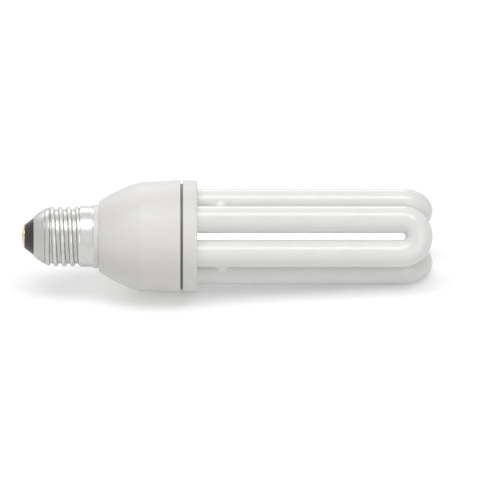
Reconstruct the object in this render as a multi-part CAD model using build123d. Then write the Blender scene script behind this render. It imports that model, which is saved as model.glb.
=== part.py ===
from build123d import *

import os
from math import cos, hypot, radians, sin, sqrt

# A compact fluorescent lamp with three U-bent tubes on a 27 mm screw cap, in millimetres.
# Each piece is drawn along the lamp's own axis: z runs from the tip of the end contact to the
# bends of the tubes. lay_down then turns the lamp, so that its axis lies along +X.

# Screw cap
crest_radius = 13.05
skirt_radius = 13.21
thread_depth = 1.05
thread_pitch = 3.629
thread_land = 0.8
sheet = 0.3
cap_end_height = 5.2
cap_end_radius = 8.5
cap_end_bulge = 0.55
first_crest_height = 12.9
skirt_height = 25.1
skirt_slope = 0.9
skirt_end = 31.2
lip_flare = 0.4
lip_length = 0.8

# End contact and insulator
contact_radius = 5.1
contact_base = 0.35
contact_top = 1.2
contact_edge = 0.5
eyelet_radius = 1.5
eyelet_bore = 1.1
eyelet_top = 4.6
solder_radius = 2.6
solder_depth = 1.4
glass_clearance = 0.05
glass_top = 7.0
glass_web = 1.8

# Ballast housing
wall = 1.6
collar_radius = 13.8
bowl_base = 33.5
bowl_base_radius = 15.25
knee_height = 51.3
knee_radius = 23.45
bowl_bulge_radius = 52.0
rim_height = 68.8
rim_radius = 24.5
neck_clearance = 0.1
neck_wall = 1.5
neck_end = 20.0
pilot_clearance = 0.35
board_rib_angles = (0, 90, 180, 258)
board_rib_thickness = 1.6
board_rib_height = 9.0
board_rib_reach = 2.6

# Tube holder
holder_clearance = 0.15
seam_width = 1.05
seam_depth = 0.85
band_height = 6.25
band_taper = 0.26
band_edge = 0.35
plate_thickness = 1.6
spigot_length = 5.4
spigot_wall = 1.5
snap_count = 4
snap_angle = 22
snap_height = 0.5
snap_length = 1.6
snap_clearance = 0.12

# Discharge tube
tube_radius = 5.9
leg_gap = 2.98
leg_count = 6
electrode_legs = (0, 1)
bridged_legs = (2, 4)
bend_height = 164.85
leg_end_height = 61.5
tube_clearance = 0.15
socket_gap = 0.48
socket_depth = 8.0
bridge_height = 86.3
bridge_radius = 2.75
pinch_length = 3.4
pinch_thickness = 2.6
pinch_width = 8.0
seal_tip_radius = 1.4
seal_tip_length = 2.0
adhesive_height = 1.6
adhesive_gap = 0.05

# Circuit board and what it carries
board_height = 54.5
board_thickness = 1.6
board_clearance = 0.5
lead_radius = 0.35
wrap_pin_width = 1.0
wrap_pin_length = 6.0
wrap_pin_circle = 18.0
wrap_pin_spacing = 3.6
tube_lead_radius = 0.25
wire_radius = 0.6
live_lead_tail = 4.0
neutral_direction = (-1.3, -8.9)

can_radius = 5.0
can_length = 18.0
can_base = 24.0
can_lead_spacing = 5.0

core_width = 16.0
core_depth = 4.8
core_height = 12.0
core_limb = 4.0
core_window_width = 3.6
core_window_height = 7.6
choke_place = (-10.2, 0)
choke_rise = 0.6
bobbin_wall = 0.7
bobbin_gap = 0.1
flange_reach = 12.0
flange_thickness = 0.8
winding_inset = 0.6

toroid_radius = 5.0
toroid_bore = 2.6
toroid_height = 4.4
toroid_place = (3.5, -13.8)
toroid_drop = 1.0
toroid_coil_angles = (30, 150, 270)
toroid_coil_sweep = 46
coil_thickness = 0.5

transistor_size = (2.7, 7.8, 10.8)
transistor_places = ((13.2, -4.7), (13.2, 4.7))
transistor_lead = 3.0
transistor_lead_spacing = 2.3

film_sizes = ((9.4, 4.4, 8.0), (8.0, 4.4, 8.0), (4.4, 7.0, 7.4))
film_places = ((-6.2, 13.0), (-8.0, -13.2), (6.4, 0))
film_lead = 0.8

drum_radius = 4.0
drum_height = 10.0
drum_waist = 2.0
drum_flange = 1.2
drum_place = (4.6, 13.6)

diode_radius = 1.35
diode_length = 5.2
diode_places = ((10.1, 10.9), (13.1, 10.9), (10.1, 13.9), (13.1, 13.9))
resistor_radius = 1.15
resistor_length = 6.0
resistor_places = ((10.8, -11.0), (13.4, -11.0), (10.8, -13.6), (13.4, -13.6))
trigger_radius = 0.95
trigger_length = 4.2
trigger_place = (8.4, -7.0)
fuse_radius = 1.9
fuse_length = 9.0
fuse_place = (8.0, 7.0)
axial_lead = 1.5

# The origin is on the axis at the middle of the cap's plain skirt
skirt_low = skirt_height + skirt_slope
skirt_high = skirt_end - lip_length
mount_height = (skirt_low + sheet + skirt_high) / 2

leg_angle = 360 / leg_count
leg_circle = (2 * tube_radius + leg_gap) / (2 * sin(radians(leg_angle / 2)))
socket_wall = (leg_gap - socket_gap) / 2 - tube_clearance
board_top = board_height + board_thickness
seam_top = rim_height + seam_width
plate_top = seam_top + band_height
plate_base = plate_top - plate_thickness
socket_base = plate_base - socket_depth
spigot_base = rim_height - spigot_length
root_radius = crest_radius - thread_depth
bore_radius = root_radius - sheet
skirt_bore = skirt_radius - sheet
neck_radius = skirt_bore - neck_clearance
pilot_radius = bore_radius - pilot_clearance
neck_bore = pilot_radius - neck_wall

spigot_bore = rim_radius - wall - holder_clearance - spigot_wall

# The bowl's wall is one arc from its base to the knee, and its centre follows from both
bowl_run = knee_radius - bowl_base_radius
bowl_rise = knee_height - bowl_base
bowl_chord = hypot(bowl_run, bowl_rise)
bowl_reach = sqrt(bowl_bulge_radius**2 - (bowl_chord / 2) ** 2)
bowl_centre_radius = (bowl_base_radius + knee_radius) / 2 - bowl_reach * bowl_rise / bowl_chord
bowl_centre_height = (bowl_base + knee_height) / 2 + bowl_reach * bowl_run / bowl_chord


def turned(outline):
    """Solid of revolution about the lamp's axis, from edges, or corners in radius and height."""
    if isinstance(outline[0], tuple):
        outline = Polyline(*outline, close=True)
    return revolve(Plane.XZ * make_face(outline), Axis.Z)


def upright(radius, low, high):
    """Round bar about the lamp's axis between two heights."""
    return Pos(0, 0, low) * extrude(Circle(radius), high - low)


def block(width, depth, height):
    """Box that stands on the centre of its base."""
    return extrude(Rectangle(width, depth), height)


def spot(place, height):
    """Location over a point of the board."""
    return Pos(place[0], place[1], height)


def polar(radius, angle, height=0):
    """Location at a radius, an angle in degrees and a height, turned to face outwards."""
    return Rot(0, 0, angle) * Pos(radius, 0, height)


def wire(points, radius):
    """Round wire along straight runs that meet in sharp kinks."""
    path = Polyline(*points)
    start = Plane(origin=path @ 0, z_dir=path % 0)
    return sweep(start * Circle(radius), path=path, transition=Transition.RIGHT)


def bowl_radius(height, inset=0):
    """Radius of the bowl's arc at a height, on the surface `inset` inside the outer one."""
    return bowl_centre_radius + sqrt(
        (bowl_bulge_radius - inset) ** 2 - (bowl_centre_height - height) ** 2
    )


def side_radius(height, inset=0):
    """Radius of the straight side above the knee, on the surface `inset` inside it."""
    share = (height - knee_height) / (rim_height - knee_height)
    return knee_radius + share * (rim_radius - knee_radius) - inset


def bowl_edge(low, high, inset=0):
    """Edge of the bowl's arc between two heights."""
    heights = (low, (low + high) / 2, high)
    return ThreePointArc(*[(bowl_radius(height, inset), height) for height in heights])


def cap_end_edge(inset, end_radius, end_height):
    """Rounded closed-in end of the cap, bulging out from its chord."""
    start = (cap_end_radius - inset, cap_end_height + inset)
    run = end_radius - start[0]
    rise = end_height - start[1]
    chord = hypot(run, rise)
    middle = (start[0] + run / 2 + cap_end_bulge * rise / chord,
              start[1] + rise / 2 - cap_end_bulge * run / chord)
    return start, ThreePointArc(start, middle, (end_radius, end_height))


def thread_groove():
    """Cutter for the helical groove: a narrow land at its root, and straight flanks."""
    mouth = thread_pitch - thread_land
    slope = (mouth - thread_land) / 2 / thread_depth
    over = thread_depth / 10
    outline = Polyline(
        (root_radius, -thread_land / 2),
        (crest_radius + over, -mouth / 2 - slope * over),
        (crest_radius + over, mouth / 2 + slope * over),
        (root_radius, thread_land / 2),
        close=True,
    )
    path = Helix(thread_pitch, skirt_end - cap_end_height - thread_pitch, crest_radius)
    groove = sweep(Plane.XZ * make_face(outline), path=path, is_frenet=True)
    start = first_crest_height - thread_pitch
    return Pos(0, 0, start) * groove


def screw_shell():
    """Rolled sheet cap: closed-in end, right-hand thread, plain skirt and flared lip."""
    end, rounded = cap_end_edge(0, crest_radius, first_crest_height)
    blank = turned([
        Line((0, end[1]), end),
        rounded,
        Line((crest_radius, first_crest_height), (crest_radius, skirt_end)),
        Line((crest_radius, skirt_end), (0, skirt_end)),
        Line((0, skirt_end), (0, end[1])),
    ])
    reach = crest_radius + thread_depth
    run_out = turned([
        (neck_bore, 0),
        (reach, 0),
        (reach, skirt_low),
        (neck_bore, skirt_height - skirt_slope),
    ])
    skirt = turned([
        (root_radius, skirt_low),
        (crest_radius, skirt_low),
        (skirt_radius, skirt_low + sheet),
        (skirt_radius, skirt_high),
        (skirt_radius + lip_flare, skirt_end),
        (root_radius, skirt_end),
    ])
    inner_end, inner_rounded = cap_end_edge(sheet, bore_radius, first_crest_height - sheet)
    hollow = turned([
        Line((0, inner_end[1]), inner_end),
        inner_rounded,
        Line((bore_radius, first_crest_height - sheet), (bore_radius, skirt_low)),
        Line((bore_radius, skirt_low), (skirt_bore, skirt_low + skirt_slope)),
        Line((skirt_bore, skirt_low + skirt_slope), (skirt_bore, skirt_high)),
        Line((skirt_bore, skirt_high), (skirt_bore + lip_flare, skirt_end)),
        Line((skirt_bore + lip_flare, skirt_end), (0, skirt_end)),
        Line((0, skirt_end), (0, inner_end[1])),
    ])
    mouth = upright(cap_end_radius - sheet, 0, glass_top)
    return blank - (thread_groove() & run_out) + skirt - hollow - mouth


def cap_insulator():
    """Black glass cone that carries the end contact in the cap's end."""
    rim = cap_end_radius - sheet - glass_clearance
    return turned([
        (eyelet_radius, contact_top),
        (contact_radius + glass_clearance, contact_top),
        (rim, cap_end_height),
        (rim, glass_top),
        (rim - glass_web / 2, glass_top),
        (eyelet_radius + glass_web, eyelet_top),
        (eyelet_radius, eyelet_top),
    ])


def centre_contact():
    """Brass end disc with the eyelet that passes through the glass."""
    return turned([
        (eyelet_bore, contact_base),
        (contact_radius - contact_edge, contact_base),
        (contact_radius, contact_base + contact_edge),
        (contact_radius, contact_top),
        (eyelet_radius, contact_top),
        (eyelet_radius, eyelet_top),
        (eyelet_bore, eyelet_top),
    ])


def contact_solder():
    """Bead that closes the eyelet on the live lead."""
    low = solder_radius / sqrt(2)
    return turned([
        ThreePointArc((0, 0), (low, contact_base * 0.3), (solder_radius, contact_base)),
        Line((solder_radius, contact_base), (eyelet_bore, contact_base)),
        Line((eyelet_bore, contact_base), (eyelet_bore, solder_depth)),
        Line((eyelet_bore, solder_depth), (0, solder_depth)),
        Line((0, solder_depth), (0, 0)),
    ])


def ballast_housing():
    """Moulded bowl with its collar, the neck for the cap and the ribs under the board."""
    floor = bowl_base + wall
    inner_rim = side_radius(rim_height, wall)
    inner_knee = bowl_radius(knee_height, wall)
    shell = turned([
        Line((neck_bore, neck_end), (pilot_radius, neck_end)),
        Line((pilot_radius, neck_end), (pilot_radius, skirt_low)),
        Line((pilot_radius, skirt_low), (neck_radius, skirt_low + skirt_slope)),
        Line((neck_radius, skirt_low + skirt_slope), (neck_radius, skirt_high)),
        Line((neck_radius, skirt_high), (neck_radius, skirt_end)),
        Line((neck_radius, skirt_end), (collar_radius, skirt_end)),
        Line((collar_radius, skirt_end), (collar_radius, bowl_base)),
        Line((collar_radius, bowl_base), (bowl_base_radius, bowl_base)),
        bowl_edge(bowl_base, knee_height),
        Line((knee_radius, knee_height), (rim_radius, rim_height)),
        Line((rim_radius, rim_height), (inner_rim, rim_height)),
        Line((inner_rim, rim_height), (inner_knee, knee_height)),
        bowl_edge(floor, knee_height, wall),
        Line((bowl_radius(floor, wall), floor), (neck_bore, floor)),
        Line((neck_bore, floor), (neck_bore, neck_end)),
    ])
    snap_top = spigot_base + snap_length + snap_clearance
    catch = side_radius(spigot_base, wall)
    undercut = turned([
        (catch - wall, spigot_base - snap_clearance),
        (catch + snap_height, spigot_base - snap_clearance),
        (catch + snap_height, snap_top),
        (catch - wall, snap_top + snap_height),
    ])
    rib_low = board_height - board_rib_height
    rib_radius = bowl_radius(knee_height, wall / 2)
    rib = Pos(rib_radius - board_rib_reach, 0, rib_low) * extrude(
        Rectangle(2 * board_rib_reach, board_rib_thickness), board_rib_height
    )
    inside = turned([
        Line((0, rib_low), (bowl_radius(rib_low, wall / 2), rib_low)),
        bowl_edge(rib_low, knee_height, wall / 2),
        Line((bowl_radius(knee_height, wall / 2), knee_height), (rib_radius, board_height)),
        Line((rib_radius, board_height), (0, board_height)),
        Line((0, board_height), (0, rib_low)),
    ])
    for angle in board_rib_angles:
        shell += (Rot(0, 0, angle) * rib) & inside
    return shell - undercut


def tube_holder():
    """Moulded cover: spigot with snap beads, seam groove, band, front plate and tube sockets."""
    fitted = wall + holder_clearance
    foot = side_radius(spigot_base, fitted)
    front = rim_radius - band_taper
    body = turned([
        (spigot_bore, spigot_base),
        (foot, spigot_base),
        (side_radius(rim_height, fitted), rim_height),
        (rim_radius - seam_depth, rim_height),
        (rim_radius - seam_depth, seam_top),
        (rim_radius, seam_top),
        (front, plate_top - band_edge),
        (front - band_edge, plate_top),
        (0, plate_top),
        (0, plate_base),
        (spigot_bore, plate_base),
    ])
    bead = Plane.XZ * make_face(Polyline(
        (foot - spigot_wall / 2, spigot_base),
        (foot, spigot_base),
        (foot + snap_height, spigot_base + snap_length / 2),
        (foot + snap_height, spigot_base + snap_length),
        (foot - spigot_wall / 2, spigot_base + snap_length),
        close=True,
    ))
    for index in range(snap_count):
        start = 360 / snap_count * index - snap_angle / 2
        body += Rot(0, 0, start) * revolve(bead, Axis.Z, revolution_arc=snap_angle)
    hole = tube_radius + tube_clearance
    for index in range(leg_count):
        at = polar(leg_circle, leg_angle * (index + 0.5), socket_base)
        body += at * extrude(Circle(hole + socket_wall), socket_depth)
    for index in range(leg_count):
        at = polar(leg_circle, leg_angle * (index + 0.5), socket_base)
        body -= at * extrude(Circle(hole), socket_depth + plate_thickness)
    return body


def leg_end(sealed_with_leads):
    """Drawn-in end of a leg, with a flat pinch round the leads or a pulled-off sealing tip."""
    shoulder = Pos(0, 0, leg_end_height) * Cone(tube_radius / 2, tube_radius, tube_radius,
                                                align=(Align.CENTER, Align.CENTER, Align.MIN))
    low = leg_end_height - pinch_length
    if sealed_with_leads:
        pinch = Pos(0, 0, low) * extrude(
            Rectangle(pinch_thickness, pinch_width), pinch_length + tube_radius
        )
        return shoulder + chamfer(pinch.edges().filter_by(Axis.Z), pinch_thickness / 3)
    tip = Cone(seal_tip_radius / 2, seal_tip_radius, seal_tip_length + tube_radius / 2,
               align=(Align.CENTER, Align.CENTER, Align.MIN))
    return shoulder + Pos(0, 0, leg_end_height - seal_tip_length) * tip


def u_tube(index):
    """One tube, bent in a U between two neighbouring legs."""
    middle = leg_angle * 2 * index
    half_span = leg_circle * sin(radians(leg_angle / 2))
    distance = leg_circle * cos(radians(leg_angle / 2))
    start = leg_end_height + tube_radius
    left = (distance, -half_span, start)
    right = (distance, half_span, start)
    left_bend = (distance, -half_span, bend_height)
    right_bend = (distance, half_span, bend_height)
    crown = (distance, 0, bend_height + half_span)
    path = Wire([Line(left, left_bend), ThreePointArc(left_bend, crown, right_bend),
                 Line(right_bend, right)])
    tube = sweep(Plane(origin=left, z_dir=(0, 0, 1)) * Circle(tube_radius), path=path)
    for side in (-1, 1):
        leg = index * 2 + (side - 1) // 2
        end = Rot(0, 0, leg_angle / 2 * side) * Pos(leg_circle, 0, 0)
        tube += end * leg_end(leg % leg_count in electrode_legs)
    return Rot(0, 0, middle) * tube


def bridge(leg):
    """Short glass tube, fused between a leg and the next one."""
    start = polar(leg_circle, leg_angle * (leg + 0.5), bridge_height).position
    end = polar(leg_circle, leg_angle * (leg + 1.5), bridge_height).position
    return extrude(Plane(origin=start, z_dir=end - start) * Circle(bridge_radius),
                   (end - start).length)


def discharge_tube():
    """Three U-tubes joined by two bridges into one sealed vessel."""
    vessel = u_tube(0) + u_tube(1) + u_tube(2)
    for leg in bridged_legs:
        vessel += bridge(leg)
    return vessel


def tube_adhesive():
    """Ring of silicone on each leg, against the end of its socket."""
    ring = Circle(tube_radius + tube_clearance + socket_wall) - Circle(tube_radius + adhesive_gap)
    low = socket_base - adhesive_height
    inside = upright(spigot_bore - adhesive_gap, low, socket_base)
    return [polar(leg_circle, leg_angle * (leg + 0.5), low) * extrude(ring, adhesive_height)
            & inside for leg in range(leg_count)]


def wrap_pin_places():
    """Places of the pins beside each electrode leg, and the leg that each pin serves."""
    for leg in electrode_legs:
        leg_turn = leg_angle * (leg + 0.5)
        for side in (-1, 1):
            pin = polar(wrap_pin_circle, leg_turn - leg_angle / 2) * Pos(
                0, side * wrap_pin_spacing / 2, 0
            )
            foot = polar(leg_circle, leg_turn) * Pos(0, side * pinch_width / 4, 0)
            yield pin, foot.position


def circuit_board():
    """Round board, drilled for the wrap pins."""
    radius = bowl_radius(knee_height, wall) - board_clearance
    board = upright(radius, board_height, board_top)
    for pin, _ in wrap_pin_places():
        board -= pin * Pos(0, 0, board_height) * block(wrap_pin_width, wrap_pin_width,
                                                       board_thickness)
    return board


def wrap_pins():
    """Square pins through the board, which the tube's leads are wound on."""
    return [pin * Pos(0, 0, board_height) * block(wrap_pin_width, wrap_pin_width, wrap_pin_length)
            for pin, _ in wrap_pin_places()]


def tube_leads():
    """Wire from each end of an electrode to its pin."""
    leads = []
    low = board_top + (leg_end_height - pinch_length - board_top) / 2
    for pin, foot in wrap_pin_places():
        top = Vector(foot.X, foot.Y, leg_end_height - pinch_length)
        corner = Vector(foot.X, foot.Y, low)
        centre = Vector(pin.position.X, pin.position.Y, low)
        aim = (centre - corner).normalized()
        end = centre - aim * wrap_pin_width * 0.75
        leads.append(wire([top, corner, end], tube_lead_radius))
    return leads


def pins_up(places, low):
    """Component leads from a height up to the underside of the board."""
    return [spot(place, low) * extrude(RegularPolygon(lead_radius, 6), board_height - low)
            for place in places]


def joined(pieces):
    """One solid from pieces that overlap or meet."""
    whole = pieces[0]
    for piece in pieces[1:]:
        whole += piece
    return whole


def reservoir_capacitor():
    """Electrolytic can in the neck, on long leads from the board."""
    top = can_base + can_length
    can = upright(can_radius, can_base, top)
    can = chamfer(can.edges().filter_by(GeomType.CIRCLE), can_radius / 10)
    half = can_lead_spacing / 2
    return joined([can, *pins_up([(0, -half), (0, half)], top - can_radius / 2)])


def choke_base():
    """Height of the choke's core above the cap's tip."""
    return board_height - choke_rise - core_height


def choke_core():
    """Pair of ferrite halves round the winding: two windows and a middle limb."""
    core = block(core_depth, core_width, core_height)
    window = block(core_depth, core_window_width, core_window_height)
    lift = (core_height - core_window_height) / 2
    shift = (core_limb + core_window_width) / 2
    for side in (-1, 1):
        core -= Pos(0, side * shift, lift) * window
    return spot(choke_place, choke_base()) * core


def choke_bobbin():
    """Spool on the core's middle limb, with pins up to the board."""
    low = choke_base() + (core_height - core_window_height) / 2 + bobbin_gap
    height = core_window_height - 2 * bobbin_gap
    hub_depth = core_depth + 2 * (bobbin_gap + bobbin_wall)
    hub_width = core_limb + 2 * (bobbin_gap + bobbin_wall)
    flange_width = core_limb + 2 * core_window_width - 2 * bobbin_gap
    hub = block(hub_depth, hub_width, height)
    flange = block(flange_reach, flange_width, flange_thickness)
    spool = hub + flange + Pos(0, 0, height - flange_thickness) * flange
    spool -= block(core_depth + 2 * bobbin_gap, core_limb + 2 * bobbin_gap, height)
    spool = spot(choke_place, low) * spool
    pin_shift = flange_reach / 2 - 2 * lead_radius
    places = [(choke_place[0] + x * pin_shift, choke_place[1] + y * flange_width / 3)
              for x in (-1, 1) for y in (-1, 1)]
    return joined([spool, *pins_up(places, low + height - flange_thickness)])


def choke_winding():
    """Copper winding between the bobbin's flanges."""
    low = choke_base() + (core_height - core_window_height) / 2 + bobbin_gap + flange_thickness
    height = core_window_height - 2 * (bobbin_gap + flange_thickness)
    hub_depth = core_depth + 2 * (bobbin_gap + bobbin_wall)
    hub_width = core_limb + 2 * (bobbin_gap + bobbin_wall)
    outer_depth = flange_reach - 2 * winding_inset
    outer_width = core_limb + 2 * core_window_width - 2 * winding_inset
    section = RectangleRounded(outer_depth, outer_width, winding_inset * 2) - Rectangle(
        hub_depth, hub_width
    )
    return spot(choke_place, low) * extrude(section, height)


def toroid_section(margin):
    """Section of the ring core, widened by a margin all round."""
    width = toroid_radius - toroid_bore + 2 * margin
    middle = (toroid_radius + toroid_bore) / 2
    return Plane.XZ * Pos(middle, 0, 0) * Rectangle(width, toroid_height + 2 * margin)


def toroid_height_on_board():
    """Height of the ring core's middle."""
    return board_height - toroid_drop - toroid_height / 2


def drive_toroid():
    """Ferrite ring of the drive transformer."""
    return spot(toroid_place, toroid_height_on_board()) * revolve(toroid_section(0), Axis.Z)


def toroid_windings():
    """Three short coils on the ring, each with a lead up to the board."""
    coils = []
    ring = revolve(toroid_section(0), Axis.Z)
    for turn in toroid_coil_angles:
        coil = Rot(0, 0, turn) * revolve(toroid_section(coil_thickness), Axis.Z,
                                         revolution_arc=toroid_coil_sweep)
        coil = spot(toroid_place, toroid_height_on_board()) * (coil - ring)
        foot = spot(toroid_place, 0) * polar(toroid_radius, turn + toroid_coil_sweep / 2)
        lead = pins_up([(foot.position.X, foot.position.Y)],
                       board_height - toroid_drop + coil_thickness / 2)
        coils.append(joined([coil, *lead]))
    return coils


def power_transistors():
    """Pair of flat transistors that hang from the board on three leads each."""
    thickness, width, height = transistor_size
    top = board_height - transistor_lead
    bodies = []
    for place in transistor_places:
        case = spot(place, top - height) * block(thickness, width, height)
        case = chamfer(case.edges().filter_by(Axis.Z).sort_by(Axis.X)[-2:], thickness / 5)
        leads = [(place[0], place[1] + step * transistor_lead_spacing) for step in (-1, 0, 1)]
        bodies.append(joined([case, *pins_up(leads, top - lead_radius)]))
    return bodies


def film_capacitors():
    """Three box capacitors close under the board."""
    boxes = []
    for place, (width, depth, height) in zip(film_places, film_sizes):
        case = spot(place, board_height - film_lead - height) * block(width, depth, height)
        case = chamfer(case.edges().filter_by(Axis.Z), depth / 8)
        along = (width / 3, 0) if width > depth else (0, depth / 3)
        leads = [(place[0] + side * along[0], place[1] + side * along[1]) for side in (-1, 1)]
        boxes.append(joined([case, *pins_up(leads, board_height - film_lead - lead_radius)]))
    return boxes


def filter_inductor():
    """Wound drum that keeps switching noise off the mains."""
    low = board_height - axial_lead - drum_height
    waist = drum_radius - drum_waist / 4
    drum = upright(drum_radius, low, low + drum_flange)
    drum += upright(waist, low + drum_flange, low + drum_height - drum_flange)
    drum += upright(drum_radius, low + drum_height - drum_flange, low + drum_height)
    drum = spot(drum_place, 0) * drum
    leads = [(drum_place[0] + side * drum_radius / 2, drum_place[1]) for side in (-1, 1)]
    return joined([drum, *pins_up(leads, low + drum_height - drum_flange / 2)])


def standing_part(place, radius, length):
    """Axial component that stands on end under the board."""
    low = board_height - axial_lead - length
    case = spot(place, low) * extrude(Circle(radius), length)
    return joined([case, *pins_up([place], low + length - lead_radius)])


def rectifier_diodes():
    """Four diodes of the mains bridge."""
    return [standing_part(place, diode_radius, diode_length) for place in diode_places]


def board_resistors():
    """Four resistors of the drive circuit."""
    return [standing_part(place, resistor_radius, resistor_length) for place in resistor_places]


def trigger_diode():
    """Small diode that starts the oscillation."""
    return standing_part(trigger_place, trigger_radius, trigger_length)


def fusible_resistor():
    """Resistor in the live lead, which opens on a fault."""
    return standing_part(fuse_place, fuse_radius, fuse_length)


def live_lead():
    """Wire from the fusible resistor, beside the can, to the eyelet of the end contact."""
    turn = Vector(*fuse_place).normalized()
    reach = Vector(*fuse_place).length
    beside = (can_radius + neck_bore) / 2
    start = board_height - axial_lead - fuse_length
    stations = (
        (reach, start),
        (reach, start - live_lead_tail),
        (beside, bowl_base),
        (beside, neck_end),
        (0, glass_top + wire_radius * 2),
        (0, solder_depth),
    )
    points = [Vector(turn.X * radius, turn.Y * radius, height) for radius, height in stations]
    return wire(points, wire_radius)


def neutral_lead():
    """Wire from the board, through the neck, to the inside of the cap's thread."""
    turn = Vector(*neutral_direction).normalized()
    beside = neck_bore - wire_radius * 2
    end = neck_end - wire_radius * 6
    stations = (
        (beside, board_height),
        (beside, neck_end - wire_radius),
        (bore_radius - wire_radius, end),
    )
    points = [Vector(turn.X * radius, turn.Y * radius, height) for radius, height in stations]
    return wire(points, wire_radius)


def lay_down(shape):
    """Turn the lamp's axis to +X, and bring the cap's skirt to the origin."""
    return Pos(-mount_height, 0, 0) * Rot(0, 90, 0) * shape


pieces = {
    "screw_shell": screw_shell,
    "cap_insulator": cap_insulator,
    "centre_contact": centre_contact,
    "contact_solder": contact_solder,
    "ballast_housing": ballast_housing,
    "tube_holder": tube_holder,
    "discharge_tube": discharge_tube,
    "tube_adhesive": tube_adhesive,
    "circuit_board": circuit_board,
    "wrap_pins": wrap_pins,
    "tube_leads": tube_leads,
    "reservoir_capacitor": reservoir_capacitor,
    "choke_core": choke_core,
    "choke_bobbin": choke_bobbin,
    "choke_winding": choke_winding,
    "drive_toroid": drive_toroid,
    "toroid_windings": toroid_windings,
    "power_transistors": power_transistors,
    "film_capacitors": film_capacitors,
    "filter_inductor": filter_inductor,
    "rectifier_diodes": rectifier_diodes,
    "board_resistors": board_resistors,
    "trigger_diode": trigger_diode,
    "fusible_resistor": fusible_resistor,
    "live_lead": live_lead,
    "neutral_lead": neutral_lead,
}

os.makedirs("parts", exist_ok=True)
for name, make in pieces.items():
    made = make()
    if isinstance(made, list):
        made = Compound([lay_down(solid) for piece in made for solid in piece.solids()])
    else:
        made = lay_down(made)
    export_step(made, f"parts/{name}.step")
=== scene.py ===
import logging
import math
from collections.abc import Callable, Sequence
from dataclasses import dataclass
from enum import Enum
from typing import Any, ClassVar

import bmesh
import bpy
from mathutils import Matrix, Vector


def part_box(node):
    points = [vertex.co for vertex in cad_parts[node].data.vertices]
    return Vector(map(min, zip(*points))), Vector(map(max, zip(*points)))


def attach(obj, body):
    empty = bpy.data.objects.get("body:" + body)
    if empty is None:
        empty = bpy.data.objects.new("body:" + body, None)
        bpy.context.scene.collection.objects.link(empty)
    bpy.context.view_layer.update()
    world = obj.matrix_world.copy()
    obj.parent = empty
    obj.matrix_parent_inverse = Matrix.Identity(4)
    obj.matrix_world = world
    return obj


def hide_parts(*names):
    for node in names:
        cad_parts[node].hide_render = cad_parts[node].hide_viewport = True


# The looks of a compact fluorescent lamp with three U-bent tubes.
# The lamp's axis lies along X, and a height is measured along it from the tip of the end contact.
# The fields of the sub-assemblies are millimetres. Meshes, lights and textures are metres.

MM = 0.001
ON_AXIS = 1e-6
STRAIGHT = 0.02
WELD = 0.002 * MM
FINE_WELD = 0.001 * MM
TUBE_WELD = 0.005 * MM
COVER_TOP = 76.1
Point = tuple[float, float]
Colour = tuple[float, float, float, float]
Body = bpy.types.Object
Material = bpy.types.Material
Socket = bpy.types.NodeSocket

log = logging.getLogger("lamp")
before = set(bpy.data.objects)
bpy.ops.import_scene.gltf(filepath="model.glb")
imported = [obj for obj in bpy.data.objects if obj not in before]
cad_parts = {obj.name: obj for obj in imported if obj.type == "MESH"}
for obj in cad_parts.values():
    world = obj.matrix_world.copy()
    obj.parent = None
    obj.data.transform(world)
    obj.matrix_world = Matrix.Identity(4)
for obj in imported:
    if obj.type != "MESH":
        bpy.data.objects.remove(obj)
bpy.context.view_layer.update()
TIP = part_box("tube_holder")[1].x - COVER_TOP * MM


def operator(operation: str, flipped: bool = False) -> Callable[["Value", Any], "Value"]:
    """Make the method behind one of Python's operators.

    Args:
        operation: The Math node's operation.
        flipped: Whether the value comes second.

    Returns:
        The method.
    """
    def method(value: "Value", other: "Value | float") -> "Value":
        """The operator's result."""
        return value.tree.math(operation, *((other, value) if flipped else (value, other)))
    return method


class Value:
    """A number socket in a node tree, on which Python's operators add Math nodes."""

    __add__ = __radd__ = operator("ADD")
    __mul__ = __rmul__ = operator("MULTIPLY")
    __sub__ = operator("SUBTRACT")
    __rsub__ = operator("SUBTRACT", flipped=True)
    __truediv__ = operator("DIVIDE")
    __pow__ = operator("POWER")

    def __init__(self, tree: "Tree", socket: Socket) -> None:
        """Wrap an output socket of a tree."""
        self.tree = tree
        self.socket = socket

    def math(self, operation: str, *others: "Value | float") -> "Value":
        """The result of a Math operation with this value first."""
        return self.tree.math(operation, self, *others)

    def held(self, low: float, high: float) -> "Value":
        """The value held between two numbers."""
        return self.math("MAXIMUM", low).math("MINIMUM", high)

    def step(self, low: float, high: float) -> "Value":
        """A smooth step from 0 at low to 1 at high, which may be less than low."""
        share = ((self - low) * (1.0 / (high - low))).held(0.0, 1.0)
        return share * share * (3.0 - 2.0 * share)


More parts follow.
